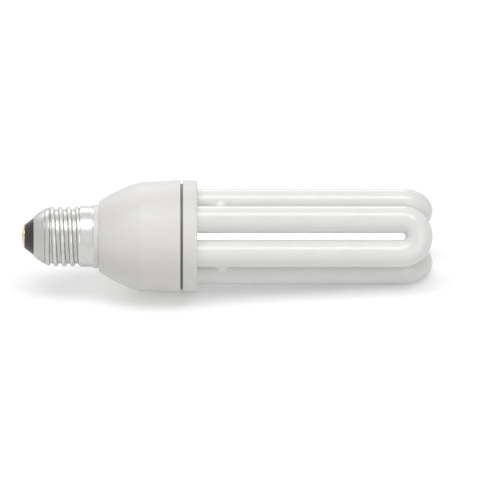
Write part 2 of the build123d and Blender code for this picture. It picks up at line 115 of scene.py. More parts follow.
class Tree:
    """A node tree that is built in Python: one method makes each kind of node."""

    def __init__(self, nodes: bpy.types.NodeTree) -> None:
        """Wrap an empty tree."""
        self.nodes = nodes

    @classmethod
    def of(cls, owner: Material | bpy.types.World) -> "Tree":
        """Empty the tree of a new material or world.

        Args:
            owner: What the tree belongs to.

        Returns:
            The tree.
        """
        owner.use_nodes = True
        owner.node_tree.nodes.clear()
        return cls(owner.node_tree)

    def node(self, kind: str, inputs: dict[str | int, Any] | None = None,
             settings: dict[str, Any] | None = None) -> bpy.types.Node:
        """Add one node.

        Args:
            kind: The node's type.
            inputs: Values or links by the socket's name, or by its place as a whole number.
            settings: Its properties, set before the sockets.

        Returns:
            The node.
        """
        made = self.nodes.nodes.new(kind)
        for name, value in (settings or {}).items():
            setattr(made, name, value)
        for name, value in (inputs or {}).items():
            socket = made.inputs[name] if isinstance(name, int) else self.live(made.inputs, name)
            value = value.socket if isinstance(value, Value) else value
            if isinstance(value, Socket):
                self.nodes.links.new(value, socket)
            else:
                socket.default_value = value
        return made

    @staticmethod
    def live(sockets: Sequence[Socket], name: str) -> Socket:
        """The socket of a name that is in use."""
        return next(socket for socket in sockets if socket.name == name and socket.enabled)

    def socket(self, kind: str, inputs: dict[str | int, Any] | None = None,
               settings: dict[str, Any] | None = None) -> Socket:
        """Add one node and give its first output."""
        return self.node(kind, inputs, settings).outputs[0]

    def value(self, node: bpy.types.Node, name: str) -> Value:
        """A node's output as a value."""
        return Value(self, self.live(node.outputs, name))

    def math(self, operation: str, *operands: Value | float) -> Value:
        """The result of one Math node on its operands."""
        inputs = dict(enumerate(operands))
        return Value(self, self.socket("ShaderNodeMath", inputs, {"operation": operation}))

    def split(self, vector: Socket) -> tuple[Value, ...]:
        """The three numbers of a vector."""
        outputs = self.node("ShaderNodeSeparateXYZ", {"Vector": vector}).outputs
        return tuple(Value(self, socket) for socket in outputs)

    def join(self, x: Value | float, y: Value | float, z: Value | float) -> Socket:
        """A vector from three numbers."""
        return self.socket("ShaderNodeCombineXYZ", {"X": x, "Y": y, "Z": z})

    def mixed(self, share: Value, first: Any, second: Any) -> Socket:
        """A mix of two colours, of which the second has the share."""
        inputs = {"Factor": share, "A": first, "B": second}
        return self.live(self.node("ShaderNodeMix", inputs, {"data_type": "RGBA"}).outputs, "Result")

    def off_axis(self, where: Socket) -> Value:
        """Distance of a place from the lamp's axis, in metres."""
        _, across, up = self.split(where)
        return (across * across + up * up) ** 0.5


@dataclass(frozen=True, kw_only=True)
class Mark:
    """Something that varies over a surface, and how far it tints, dulls and raises it.

    The band turns what the mark goes by into a smooth step. At the level, gloss stays as it is.
    """

    band: Point | None = None
    tint: float = 0.0
    dull: float = 0.0
    level: float = 0.0
    rise: float = 0.0

    def strength(self, tree: Tree, where: Socket) -> Value:
        """How strong the mark is at a place."""
        measure = self.measure(tree, where)
        return measure.step(*self.band) if self.band else measure

    def measure(self, tree: Tree, where: Socket) -> Value:
        """What the mark goes by, which each kind gives."""
        raise NotImplementedError


@dataclass(frozen=True, kw_only=True)
class Noise(Mark):
    """Smooth noise from 0 to 1, scaled apart along the lamp's axis and across it."""

    scale: float
    detail: float = 3.0
    roughness: float = 0.5
    stretch: Point = (1.0, 1.0)

    def measure(self, tree: Tree, where: Socket) -> Value:
        """Lay the noise on a surface.

        Args:
            tree: The material's tree.
            where: The surface's coordinates.

        Returns:
            The noise at a place.
        """
        along, across = self.stretch
        if along != across:
            scaled = {"Vector": where, "Scale": (along, across, across)}
            where = tree.socket("ShaderNodeMapping", scaled)
        return Value(tree, tree.socket("ShaderNodeTexNoise", {
            "Vector": where, "Scale": self.scale, "Detail": self.detail,
            "Roughness": self.roughness}))


@dataclass(frozen=True, kw_only=True)
class Along(Mark):
    """Height from the lamp's tip, in millimetres."""

    def measure(self, tree: Tree, where: Socket) -> Value:
        """The height of a place."""
        return (tree.split(where)[0] - TIP) / MM


@dataclass(frozen=True, kw_only=True)
class OffAxis(Mark):
    """Distance from the lamp's axis, in millimetres."""

    def measure(self, tree: Tree, where: Socket) -> Value:
        """The distance of a place."""
        return tree.off_axis(where) / MM


@dataclass(frozen=True, kw_only=True)
class Turns(Mark):
    """Round tops of wires that lie side by side along a direction, so many in a metre."""

    count: float
    direction: tuple[float, float, float]

    def measure(self, tree: Tree, where: Socket) -> Value:
        """Follow the wires' round tops.

        Args:
            tree: The material's tree.
            where: The surface's coordinates.

        Returns:
            From 0 between two wires to 1 on the top of one.
        """
        placed = tree.node("ShaderNodeVectorMath", {0: where, 1: self.direction},
                           {"operation": "DOT_PRODUCT"})
        ridge = (tree.value(placed, "Value") * self.count).math("FRACT") - 0.5
        return 1.0 - ridge * ridge * 4.0


def colour(red: float, green: float, blue: float) -> Colour:
    """An opaque colour."""
    return (red, green, blue, 1.0)


def toned(base: Colour, factor: float, lift: float = 0.0) -> Colour:
    """A colour with its channels multiplied and lifted, and held at 1."""
    return colour(*(min(1.0, channel * factor + lift) for channel in base[:3]))


class White(Enum):
    """The whites of the mouldings, the tubes' coating and the floor."""

    HOUSING = colour(0.83, 0.82, 0.79)
    COATING = colour(0.87, 0.87, 0.86)
    FLOOR = colour(0.80, 0.80, 0.80)


@dataclass(frozen=True)
class Finish:
    """What every finish shares: a material whose marks mix two tones on one Principled shader."""

    name: str
    base: Colour
    roughness: float = 0.4
    depth: ClassVar[float] = 0.02 * MM
    tinted_dull: ClassVar[float] = 0.0
    tint_band: ClassVar[Point | None] = None
    fixed: ClassVar[dict[str, Any]] = {}

    def tones(self) -> tuple[Colour, Colour]:
        """The colour without any tint and with all of it, which each finish gives."""
        raise NotImplementedError

    def marks(self) -> tuple[Mark, ...]:
        """The marks on the surface, which each finish gives."""
        raise NotImplementedError

    def material(self) -> Material:
        """Build the material.

        Returns:
            The material, ready to assign.
        """
        made = bpy.data.materials.new(self.name)
        tree = Tree.of(made)
        where = tree.node("ShaderNodeTexCoord").outputs["Object"]
        shader = tree.socket("ShaderNodeBsdfPrincipled", self.surface(tree, where))
        tree.node("ShaderNodeOutputMaterial", {"Surface": shader})
        return made

    def surface(self, tree: Tree, where: Socket) -> dict[str, Any]:
        """Lay the marks on the surface.

        Args:
            tree: The material's tree.
            where: The surface's coordinates.

        Returns:
            The shader's inputs.
        """
        tint, rough, height = 0.0, self.roughness, 0.0
        for mark in self.marks():
            strength = mark.strength(tree, where)
            if mark.tint:
                tint = tint + strength * mark.tint
            if mark.dull:
                rough = rough + (strength - mark.level) * mark.dull
            if mark.rise:
                height = height + strength * mark.rise
        share = tint.step(*self.tint_band) if self.tint_band else tint.held(0.0, 1.0)
        if self.tinted_dull:
            rough = rough + share * self.tinted_dull
        bump = {"Strength": 1.0, "Distance": self.depth, "Height": height}
        return {
            "Base Color": tree.mixed(share, *self.tones()),
            "Roughness": rough,
            "Normal": tree.socket("ShaderNodeBump", bump),
            **self.fixed,
        }


@dataclass(frozen=True)
class MouldedPlastic(Finish):
    """Satin moulding: spark-eroded grain, slow flow shading, fine scuffs, painted shade in the seam
    groove.
    """

    groove: Point = (68.7, 69.95)
    groove_floor: float = 22.9
    floor_margin: float = 0.1
    # How far up from the groove's floor the painted shade reaches, in millimetres.
    painted_shade_reach: float = 1.3
    # The dark colour of the shade painted into the seam groove.
    painted_seam_shade: Colour = colour(0.23, 0.22, 0.20)
    depth: ClassVar[float] = 0.012 * MM
    fixed: ClassVar[dict[str, Any]] = {
        "IOR": 1.5, "Subsurface Weight": 0.06, "Subsurface Radius": (1.0, 0.9, 0.8),
        "Subsurface Scale": 0.6 * MM}

    def tones(self) -> tuple[Colour, Colour]:
        """Darker where the flow shades it."""
        return toned(self.base, factor=0.93), self.base

    def marks(self) -> tuple[Mark, ...]:
        """Flow shading, grain and scuffs."""
        return (
            Noise(scale=70.0, detail=2.0, stretch=(0.35, 1.0), band=(0.3, 0.7), tint=1.0),
            Noise(scale=2600.0, detail=4.0, roughness=0.6, dull=0.10, level=0.5, rise=1.0),
            Noise(scale=900.0, detail=2.0, roughness=0.7, stretch=(1.0, 0.12),
                  band=(0.66, 0.74), dull=-0.10, rise=-0.35))

    def surface(self, tree: Tree, where: Socket) -> dict[str, Any]:
        """Paint shade into the seam groove, as a dark colour over the usual marks.

        Args:
            tree: The material's tree.
            where: The surface's coordinates.

        Returns:
            The shader's inputs.
        """
        inputs = super().surface(tree, where)
        along, radius = tree.split(where)[0], tree.off_axis(where)
        low, high = (TIP + height * MM for height in self.groove)
        within = along.math("GREATER_THAN", low) * along.math("LESS_THAN", high)
        floor = self.groove_floor * MM
        inner = radius.math("GREATER_THAN", floor - self.floor_margin * MM)
        # Painted shade: darkest on the groove's floor, fading out up its walls.
        painted_seam_share = within * inner * (1.0 - radius.step(floor, floor + self.painted_shade_reach * MM))
        inputs["Base Color"] = tree.mixed(painted_seam_share, inputs["Base Color"], self.painted_seam_shade)
        return inputs


@dataclass(frozen=True)
class CoatedGlass(Finish):
    """Polished glass over a milk-white powder coating that is thinner at the bends."""

    thin: Colour = colour(0.79, 0.79, 0.775)
    bend: Point = (164.35, 178.35)
    depth: ClassVar[float] = 0.035 * MM
    fixed: ClassVar[dict[str, Any]] = {"IOR": 1.5}

    def tones(self) -> tuple[Colour, Colour]:
        """Greyer where the coating is thin."""
        return self.base, self.thin

    def marks(self) -> tuple[Mark, ...]:
        """Clouds and specks in the powder, its thin part, and the long waves of drawn glass."""
        return (
            Noise(scale=160.0, stretch=(0.5, 1.0), band=(0.45, 0.75), tint=0.35),
            Noise(scale=160.0, stretch=(0.5, 1.0), dull=0.03),
            Along(band=self.bend, tint=0.30),
            Noise(scale=2400.0, detail=2.0, band=(0.70, 0.78), tint=0.25),
            Noise(scale=190.0, detail=1.0, stretch=(0.16, 1.0), rise=1.0))


@dataclass(frozen=True)
class RolledMetal(Finish):
    """Bright plated sheet: rolling marks round the axis, polished crests, dull roots."""

    dulled: Colour = colour(0.41, 0.40, 0.38)
    wear: Point = (13.0, 11.8)
    depth: ClassVar[float] = 0.006 * MM
    tinted_dull: ClassVar[float] = 0.16
    fixed: ClassVar[dict[str, Any]] = {"Metallic": 1.0}

    def tones(self) -> tuple[Colour, Colour]:
        """Greyer where the plating is dull."""
        return self.base, self.dulled

    def marks(self) -> tuple[Mark, ...]:
        """Dull roots between worn crests, stains, and marks that run round the axis."""
        return (
            OffAxis(band=self.wear, tint=0.45),
            Noise(scale=240.0, detail=4.0, roughness=0.6, band=(0.5, 0.8), tint=0.35),
            Noise(scale=5200.0, roughness=0.65, stretch=(1.0, 0.03), dull=0.14, level=0.5,
                  rise=1.0))


@dataclass(frozen=True)
class MouldedGlass(Finish):
    """Glossy moulded glass with shallow press waves, a few small pits and a film of dust."""

    depth: ClassVar[float] = 0.05 * MM
    tinted_dull: ClassVar[float] = 0.18
    fixed: ClassVar[dict[str, Any]] = {"IOR": 1.55}

    def tones(self) -> tuple[Colour, Colour]:
        """Lighter under dust."""
        return self.base, toned(self.base, factor=1.0, lift=0.05)

    def marks(self) -> tuple[Mark, ...]:
        """Dust, press waves and pits."""
        return (
            Noise(scale=600.0, detail=5.0, roughness=0.7, band=(0.55, 0.8), tint=1.0),
            Noise(scale=320.0, detail=2.0, rise=1.0),
            Noise(scale=1900.0, detail=1.0, band=(0.68, 0.76), rise=-0.4))


@dataclass(frozen=True)
class StampedMetal(Finish):
    """Stamped or cast metal with tarnish patches and a fine random grain."""

    tarnish: Colour = colour(0.42, 0.33, 0.20)
    patches: float = 420.0
    depth: ClassVar[float] = 0.03 * MM
    tinted_dull: ClassVar[float] = 0.18
    fixed: ClassVar[dict[str, Any]] = {"Metallic": 1.0}

    def tones(self) -> tuple[Colour, Colour]:
        """Darker where it is tarnished."""
        return self.base, self.tarnish

    def marks(self) -> tuple[Mark, ...]:
        """Tarnish patches, their relief, and the grain."""
        return (
            Noise(scale=self.patches, detail=4.0, roughness=0.65, band=(0.48, 0.72), tint=1.0),
            Noise(scale=self.patches, detail=4.0, roughness=0.65, rise=0.7),
            Noise(scale=5200.0, detail=2.0, dull=0.08, level=0.5, rise=0.3))


@dataclass(frozen=True)
class WoundWire(Finish):
    """Enamelled copper turns, side by side along one direction of the winding."""

    turns: float = 3200.0
    direction: tuple[float, float, float] = (1.0, 0.0, 0.0)
    depth: ClassVar[float] = 0.12 * MM
    fixed: ClassVar[dict[str, Any]] = {"Metallic": 0.6}

    def tones(self) -> tuple[Colour, Colour]:
        """Darker between the turns: painted shade in the gaps between the wires."""
        return toned(self.base, factor=0.55), self.base

    def marks(self) -> tuple[Mark, ...]:
        """The turns, and the enamel's uneven tone."""
        return (
            # The turns' tint paints shade into the gaps between the wires.
            Turns(count=self.turns, direction=self.direction, tint=0.6, rise=1.0),
            Noise(scale=500.0, tint=0.4, dull=0.1))


@dataclass(frozen=True)
class Laminate(Finish):
    """Paper laminate with faint fibres and slow clouds in its resin."""

    tint_band: ClassVar[Point | None] = (0.35, 0.65)

    def tones(self) -> tuple[Colour, Colour]:
        """Darker in the hollows of the pattern."""
        return toned(self.base, factor=0.72), self.base

    def marks(self) -> tuple[Mark, ...]:
        """Fibres and clouds."""
        return (
            Noise(scale=1500.0, stretch=(1.0, 0.1), tint=0.5, rise=1.0),
            Noise(scale=700.0, detail=4.0, roughness=0.6, tint=0.5, dull=0.12))


@dataclass(frozen=True)
class Compound(Finish):
    """Moulding compound, ferrite, lacquer or rubber: speckle, slow tone and a fine grain."""

    speckle: float = 0.12
    tint_band: ClassVar[Point | None] = (0.35, 0.7)

    def tones(self) -> tuple[Colour, Colour]:
        """Lighter on the speckles."""
        return self.base, toned(self.base, factor=1.0 + 2.0 * self.speckle, lift=0.01)

    def marks(self) -> tuple[Mark, ...]:
        """Tone and grain."""
        return (
            Noise(scale=260.0, tint=0.5),
            Noise(scale=1800.0, detail=4.0, roughness=0.6, tint=0.5, dull=0.12, level=0.5,
                  rise=1.0))


@dataclass(frozen=True)
class Corner:
    """A corner of a turned outline: height along the axis, radius and the fillet there."""

    height: float
    radius: float
    fillet: float = 0.0

    def spot(self) -> Vector:
        """The corner as a flat vector."""
        return Vector((self.height, self.radius))


def filleted(corners: Sequence[Corner], steps: int = 6) -> list[Point]:
    """Round the corners of a closed outline.

    Args:
        corners: The outline's corners in order.
        steps: How many spans each fillet is cut into.

    Returns:
        The outline's points as height and radius.
    """
    points: list[Point] = []
    for index, corner in enumerate(corners):
        here = corner.spot()
        before = corners[index - 1].spot() - here
        after = corners[(index + 1) % len(corners)].spot() - here
        turn = before.angle(after) if before.length and after.length else math.pi
        if corner.fillet <= 0.0 or turn > math.pi - STRAIGHT:
            points.append((here.x, here.y))
            continue
        reach = min(corner.fillet / math.tan(turn / 2), before.length / 2, after.length / 2)
        start = here + before.normalized() * reach
        end = here + after.normalized() * reach
        middle = (start + end) / 2
        radius = reach * math.tan(turn / 2)
        centre = here + (middle - here).normalized() * (radius / math.sin(turn / 2))
        arm = start - centre
        sweep = arm.angle_signed(end - centre)
        for step in range(steps + 1):
            spoke = Matrix.Rotation(-sweep * step / steps, 2) @ arm
            points.append((centre.x + spoke.x, centre.y + spoke.y))
    return points


def bulge_centre(start: Point, end: Point, radius: float) -> Vector:
    """Find the centre of an arc that bulges away from the axis between two points.

    Args:
        start: The arc's lower end, as height and radius.
        end: Its upper end.
        radius: The arc's own radius.

    Returns:
        The centre as height and radius.
    """
    chord = Vector(end) - Vector(start)
    inward = Vector((chord.y, -chord.x)).normalized()
    reach = math.sqrt(radius**2 - (chord.length / 2) ** 2)
    return (Vector(start) + Vector(end)) / 2 + inward * reach


class Join(Enum):
    """How another solid acts on a body."""

    ADD = "UNION"
    CUT = "DIFFERENCE"


class Solid:
    """Makers of plain closed meshes, and the joins between them."""

    @staticmethod
    def from_faces(name: str, points: Sequence[Vector], faces: Sequence[Sequence[int]]) -> Body:
        """Make a mesh object at the origin, with its faces turned outwards.

        Args:
            name: The object's name.
            points: Its corners, in the lamp's frame.
            faces: Its faces as indices of corners.

        Returns:
            The object.
        """
        mesh = bpy.data.meshes.new(name)
        mesh.from_pydata([tuple(point) for point in points], [], [tuple(face) for face in faces])
        shape = bmesh.new()
        shape.from_mesh(mesh)
        bmesh.ops.recalc_face_normals(shape, faces=shape.faces)
        shape.to_mesh(mesh)
        shape.free()
        made = bpy.data.objects.new(name, mesh)
        bpy.context.scene.collection.objects.link(made)
        return made

    @staticmethod
    def turned(name: str, corners: Sequence[Corner], around: int = 128,
               drop: float = 0.0) -> Body:
        """Turn a closed outline about an axis along X.

        Args:
            name: The object's name.
            corners: The outline's corners, which are rounded first.
            around: How many spans go round.
            drop: How far the turning axis lies below the lamp's.

        Returns:
            The object.
        """
        points: list[Vector] = []
        rings: list[list[int]] = []
        for height, radius in filleted(corners):
            spans = 1 if radius < ON_AXIS else around
            rings.append([len(points) + (index if spans > 1 else 0) for index in range(around)])
            for index in range(spans):
                turn = math.tau * index / around
                points.append(Vector((TIP + height * MM, radius * MM * math.cos(turn),
                                      (radius * math.sin(turn) - drop) * MM)))
        faces = []
        for first, second in zip(rings, rings[1:] + rings[:1]):
            for index in range(around):
                after = (index + 1) % around
                face = dict.fromkeys((first[index], first[after], second[after], second[index]))
                if len(face) > 2:
                    faces.append(list(face))
        return Solid.from_faces(name, points, faces)

    @staticmethod
    def joined(body: Body, join: Join, other: Body) -> Body:
        """Add another solid to a body, or cut it from it.

        Args:
            body: The solid that is kept.
            join: What the other does to it.
            other: The solid that is used up.

        Returns:
            The body with its new mesh.
        """
        modifier = body.modifiers.new("join", "BOOLEAN")
        modifier.operation = join.value
        modifier.solver = "EXACT"
        modifier.material_mode = "TRANSFER"
        modifier.object = other
        Solid.bake(body)
        bpy.data.objects.remove(other)
        return body

    @staticmethod
    def gathered(parts: Sequence[Body]) -> Body:
        """Put solids that don't touch into one mesh.

        Args:
            parts: The solids, of which the first is kept.

        Returns:
            The first one, with all of them in its mesh.
        """
        whole = bmesh.new()
        for part in parts:
            whole.from_mesh(part.data)
        whole.to_mesh(parts[0].data)
        whole.free()
        for part in parts[1:]:
            bpy.data.objects.remove(part)
        return parts[0]

    @staticmethod
    def bake(body: Body) -> None:
        """Turn a body's modifiers into its plain mesh.

        Args:
            body: The object that carries the modifiers.
        """
        seen = bpy.context.evaluated_depsgraph_get()
        mesh = bpy.data.meshes.new_from_object(body.evaluated_get(seen))
        body.modifiers.clear()
        body.data = mesh

    @staticmethod
    def welded(body: Body, distance: float = WELD) -> Body:
        """Merge a body's doubles and turn its faces outwards.

        Args:
            body: The object.
            distance: How near two corners are to be one.

        Returns:
            The same object.
        """
        shape = bmesh.new()
        shape.from_mesh(body.data)
        bmesh.ops.remove_doubles(shape, verts=shape.verts, dist=distance)
        bmesh.ops.dissolve_degenerate(shape, edges=shape.edges, dist=distance / 10)
        bmesh.ops.recalc_face_normals(shape, faces=shape.faces)
        shape.to_mesh(body.data)
        shape.free()
        return body


class ShapeTree(Tree):
    """A Geometry Nodes tree with named sizes, and the object that carries it."""

    def __init__(self, name: str, sizes: dict[str, float], carrier: Body | None = None) -> None:
        """Start a tree.

        Args:
            name: The name of the tree and of the new object.
            sizes: The named inputs and their values, in metres or plain numbers.
            carrier: An object whose own mesh enters the tree, if there is one.
        """
        super().__init__(bpy.data.node_groups.new(name, "GeometryNodeTree"))
        self.sizes = sizes
        self.carrier = carrier or Solid.from_faces(name, [], [])
        self._named("Geometry", "INPUT", "NodeSocketGeometry")
        self.places = {label: self._named(label, "INPUT", "NodeSocketFloat") for label in sizes}
        self._named("Geometry", "OUTPUT", "NodeSocketGeometry")
        self.entry = self.nodes.nodes.new("NodeGroupInput")

    def _named(self, label: str, side: str, kind: str) -> str:
        """Add a named input or output to the tree and give its identifier."""
        return self.nodes.interface.new_socket(label, in_out=side, socket_type=kind).identifier

    def size(self, label: str) -> Value:
        """A named size as a value."""
        return self.value(self.entry, label)

    def index(self) -> Value:
        """The index of a point."""
        return Value(self, self.socket("GeometryNodeInputIndex"))

    def moved(self, geometry: Socket, spot: Socket) -> Socket:
        """Put every point of a geometry where a vector says."""
        return self.socket("GeometryNodeSetPosition", {"Geometry": geometry, "Position": spot})

    def piped(self, path: Socket, radius: Value, around: int, scale: Value,
              capped: bool) -> Socket:
        """Lay a round skin along a path.

        Args:
            path: The path's curve.
            radius: The pipe's plain radius.
            around: How many spans go round it.
            scale: How wide it is at each point, where 1 is its plain radius.
            capped: Whether its ends are closed by flat faces.

        Returns:
            The skin.
        """
        circle = self.socket("GeometryNodeCurvePrimitiveCircle",
                             {"Resolution": around, "Radius": radius})
        return self.socket("GeometryNodeCurveToMesh", {
            "Curve": path, "Profile Curve": circle, "Scale": scale, "Fill Caps": capped})

    def sealed(self, geometry: Socket, distance: float) -> Socket:
        """Merge the points of a geometry that lie within a distance."""
        return self.socket("GeometryNodeMergeByDistance",
                           {"Geometry": geometry, "Distance": distance})

    def made(self, geometry: Socket, material: Material) -> Body:
        """Close the tree, run it once and keep the result as a plain mesh.

        Args:
            geometry: What the tree gives.
            material: The material of the whole result.

        Returns:
            The object with its plain mesh.
        """
        whole = self.socket("GeometryNodeRealizeInstances", {"Geometry": geometry})
        dressed = self.socket("GeometryNodeSetMaterial", {"Geometry": whole, "Material": material})
        self.node("NodeGroupOutput", {"Geometry": dressed})
        modifier = self.carrier.modifiers.new(self.nodes.name, "NODES")
        modifier.node_group = self.nodes
        for label, place in self.places.items():
            modifier[place] = float(self.sizes[label])
        Solid.bake(self.carrier)
        return self.carrier


def around_axis(part: Body, count: int, first: float, material: Material) -> Body:
    """Repeat a part round the lamp's axis.

    Args:
        part: The part, placed below the axis.
        count: How many there are.
        first: The angle of the first, in degrees.
        material: Their material.

    Returns:
        The part with the whole pattern as its mesh.
    """
    sizes = {"Count": count, "First Angle": math.radians(first)}
    tree = ShapeTree(part.name + "_ring", sizes, part)
    spots = tree.socket("GeometryNodeMeshLine", {"Count": tree.size("Count"),
                                                 "Offset": (0.0, 0.0, 0.0)}, {"mode": "OFFSET"})
    angle = tree.index() * math.tau / tree.size("Count") + tree.size("First Angle")
    turn = tree.socket("FunctionNodeAxisAngleToRotation", {"Axis": (1.0, 0.0, 0.0), "Angle": angle})
    copies = tree.socket("GeometryNodeInstanceOnPoints", {
        "Points": spots, "Instance": tree.entry.outputs["Geometry"], "Rotation": turn})
    return tree.made(copies, material)


def dress(piece: Body, node: str, material: Material, crease: float = 35.0) -> None:
    """Finish a piece that stands for a part of the frame.

    Args:
        piece: The finished mesh object.
        node: The part it stands for.
        material: Its finish.
        crease: Edges sharper than this many degrees stay sharp.
    """
    piece.data.materials.clear()
    piece.data.materials.append(material)
    piece.data.shade_smooth()
    piece.data.set_sharp_from_angle(angle=math.radians(crease))
    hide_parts(node)
    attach(piece, "root")
    faces = sum(len(face.vertices) - 2 for face in piece.data.polygons)
    log.info("%s: %d triangles, %s", piece.name, faces, material.name)


@dataclass
class ScrewCap:
    """The rolled sheet shell, the glass that closes its end, and the end contact."""

    pitch: float = 3.629
    crest: float = 13.05
    depth: float = 1.3
    bead: float = 1.15
    bead_powers: Point = (2.2, 0.75)
    first_crest: float = 13.34
    run_in: Point = (11.0, 12.6)
    run_out: Point = (24.7, 25.4)
    run_out_blend: float = 0.12
    skirt: float = 13.21
    shoulder: Point = (25.2, 25.7)
    flare: Point = (30.2, 31.2)
    flare_depth: float = 0.4
    flare_power: float = 1.6
    end: Point = (5.2, 8.5)
    closed_in: float = 12.9
    end_bulge: float = 0.55
    end_blend: float = 0.25
    fold: float = 10.05
    fold_width: float = 0.3
    fold_depth: float = 0.28
    sheet: float = 0.3
    rows: int = 250
    around: int = 144
    shell_crease: float = 50.0
    glass: tuple[Corner, ...] = (
        Corner(1.25, 1.55), Corner(1.25, 5.15, 0.15), Corner(5.1, 8.12, 0.35),
        Corner(7.0, 8.15, 0.1), Corner(7.0, 7.2, 0.3), Corner(4.6, 3.3, 0.3), Corner(4.6, 1.55))
    disc_dome: Point = (0.30, 0.70)
    disc_radii: Point = (1.15, 4.9)
    disc_steps: int = 8
    disc_back: tuple[Corner, ...] = (
        Corner(1.06, 5.1, 0.14), Corner(1.3, 5.1, 0.1), Corner(1.3, 1.48, 0.1),
        Corner(4.6, 1.48, 0.1), Corner(4.6, 1.15, 0.1))
    solder_foot: Point = (0.42, 2.55)
    solder_plug: Point = (1.4, 1.08)
    solder_steps: int = 9
    solder_around: int = 72
    ripples: tuple[tuple[int, float, float], ...] = ((2, 0.7, 0.05), (3, 2.0, 0.035))
    ripple_start: float = 1.1
    metal: RolledMetal = RolledMetal("rolled_nickel_sheet", colour(0.59, 0.59, 0.58), 0.26)
    black: MouldedGlass = MouldedGlass("black_moulded_glass", colour(0.012, 0.012, 0.014), 0.10)
    brass: StampedMetal = StampedMetal("stamped_brass", colour(0.80, 0.62, 0.33), 0.26)
    tin: StampedMetal = StampedMetal("dull_tin_solder", colour(0.66, 0.66, 0.65), 0.34,
                                     tarnish=colour(0.40, 0.40, 0.39), patches=900.0)

    def build(self) -> None:
        """Make and dress the cap's four pieces."""
        dress(self.shell(), "screw_shell", self.metal.material(), self.shell_crease)
        dress(self.insulator(), "cap_insulator", self.black.material())
        dress(self.contact(), "centre_contact", self.brass.material())
        dress(self.solder(), "contact_solder", self.tin.material())

    def end_arc(self) -> tuple[Vector, float]:
        """Find the arc that closes in the shell's end.

        Returns:
            Its centre as height and radius, and the arc's own radius.
        """
        finish = (self.closed_in, self.crest)
        chord = Vector(finish) - Vector(self.end)
        radius = chord.length_squared / (8 * self.end_bulge) + self.end_bulge / 2
        return bulge_centre(self.end, finish, radius), radius

    def shell(self) -> Body:
        """Make the sheet, as one rule for its radius by height and angle.

        Returns:
            The object.
        """
        centre, arc = self.end_arc()
        lengths = {
            "Pitch": self.pitch, "Crest": self.crest, "Depth": self.depth, "Bead": self.bead,
            "Sheet": self.sheet, "Low": self.end[0], "High": self.flare[1],
            "First Crest": self.first_crest, "Skirt Step": self.skirt - self.crest,
            "Flare": self.flare_depth, "Fold Depth": self.fold_depth,
            "Arc Height": centre.x, "Arc Centre": centre.y, "Arc Radius": arc}
        sizes = {label: length * MM for label, length in lengths.items()}
        tree = ShapeTree("screw_shell_sheet", {"Tip": TIP, **sizes, "Rows": self.rows})
        grid = tree.socket("GeometryNodeMeshGrid", {
            "Size X": 1.0, "Size Y": 1.0, "Vertices X": 2 * self.rows + 1,
            "Vertices Y": self.around + 1})
        row_share, turn_share, _ = tree.split(tree.socket("GeometryNodeInputPosition"))
        # The rows run up the outer face and down the inner one, and the last meets the first.
        rows = tree.size("Rows")
        row = ((row_share + 0.5) * rows * 2.0).math("ROUND").math("MODULO", rows * 2.0)
        inside = row.math("GREATER_THAN", rows - 0.5)
        folded = row + inside * (rows * 2.0 - 1.0 - row * 2.0)
        share = folded / (rows - 1.0)
        height = tree.size("Low") + share * (tree.size("High") - tree.size("Low"))
        turn = (turn_share + 0.5) * math.tau
        radius = self.radius(tree, height, turn) - inside * tree.size("Sheet")
        spot = tree.join(height + tree.size("Tip"), radius * turn.math("COSINE"),
                         radius * turn.math("SINE"))
        sheet = tree.sealed(tree.moved(grid, spot), FINE_WELD)
        return Solid.welded(tree.made(sheet, bpy.data.materials.new("bare")), FINE_WELD)

    def radius(self, tree: ShapeTree, height: Value, turn: Value) -> Value:
        """The outer radius: closed-in end, thread with its run-in and run-out, skirt, flare.

        Args:
            tree: The shell's tree.
            height: Height from the tip.
            turn: Angle round the axis.

        Returns:
            The radius.
        """
        pitch, crest, depth = tree.size("Pitch"), tree.size("Crest"), tree.size("Depth")
        sharp, round_ = self.bead_powers
        turns = (height - tree.size("First Crest")) / pitch - (turn - math.pi / 2) / math.tau
        from_crest = ((turns + 0.5).math("FRACT") - 0.5).math("ABSOLUTE") * pitch
        out = (from_crest / tree.size("Bead")).held(0.0, 1.0) ** sharp
        below = depth - depth * (1.0 - out).math("MAXIMUM", 0.0) ** round_
        thread = crest - below * self.between(height, self.run_in)
        ramp = (crest - depth) + depth * self.between(height, self.run_out)
        grown = thread.math("SMOOTH_MAX", ramp, self.run_out_blend * MM)
        skirt = tree.size("Skirt Step") * self.between(height, self.shoulder)
        flare = tree.size("Flare") * self.between(height, self.flare) ** self.flare_power
        level = height.math("MINIMUM", tree.size("Arc Height")) - tree.size("Arc Height")
        arc = tree.size("Arc Radius")
        rounded = tree.size("Arc Centre") + (arc * arc - level * level) ** 0.5
        from_fold = (height - self.fold * MM).math("ABSOLUTE")
        fold = tree.size("Fold Depth") * from_fold.step(self.fold_width * MM, 0.0)
        return grown.math("SMOOTH_MIN", rounded - fold, self.end_blend * MM) + skirt + flare

    @staticmethod
    def between(height: Value, stretch: Point) -> Value:
        """A smooth step over a stretch of heights."""
        return height.step(stretch[0] * MM, stretch[1] * MM)

    def insulator(self) -> Body:
        """Glass cone between the shell and the end contact."""
        return Solid.turned("cap_insulator_glass", self.glass)

    def contact(self) -> Body:
        """Make the domed brass disc with its rolled edge and eyelet.

        Returns:
            The object.
        """
        (tip, rise), (hole, rim), steps = self.disc_dome, self.disc_radii, self.disc_steps
        face = [Corner(tip + rise * (step / steps) ** 2, hole + (rim - hole) * step / steps)
                for step in range(steps + 1)]
        return Solid.turned("centre_contact_disc", [*face, *self.disc_back])

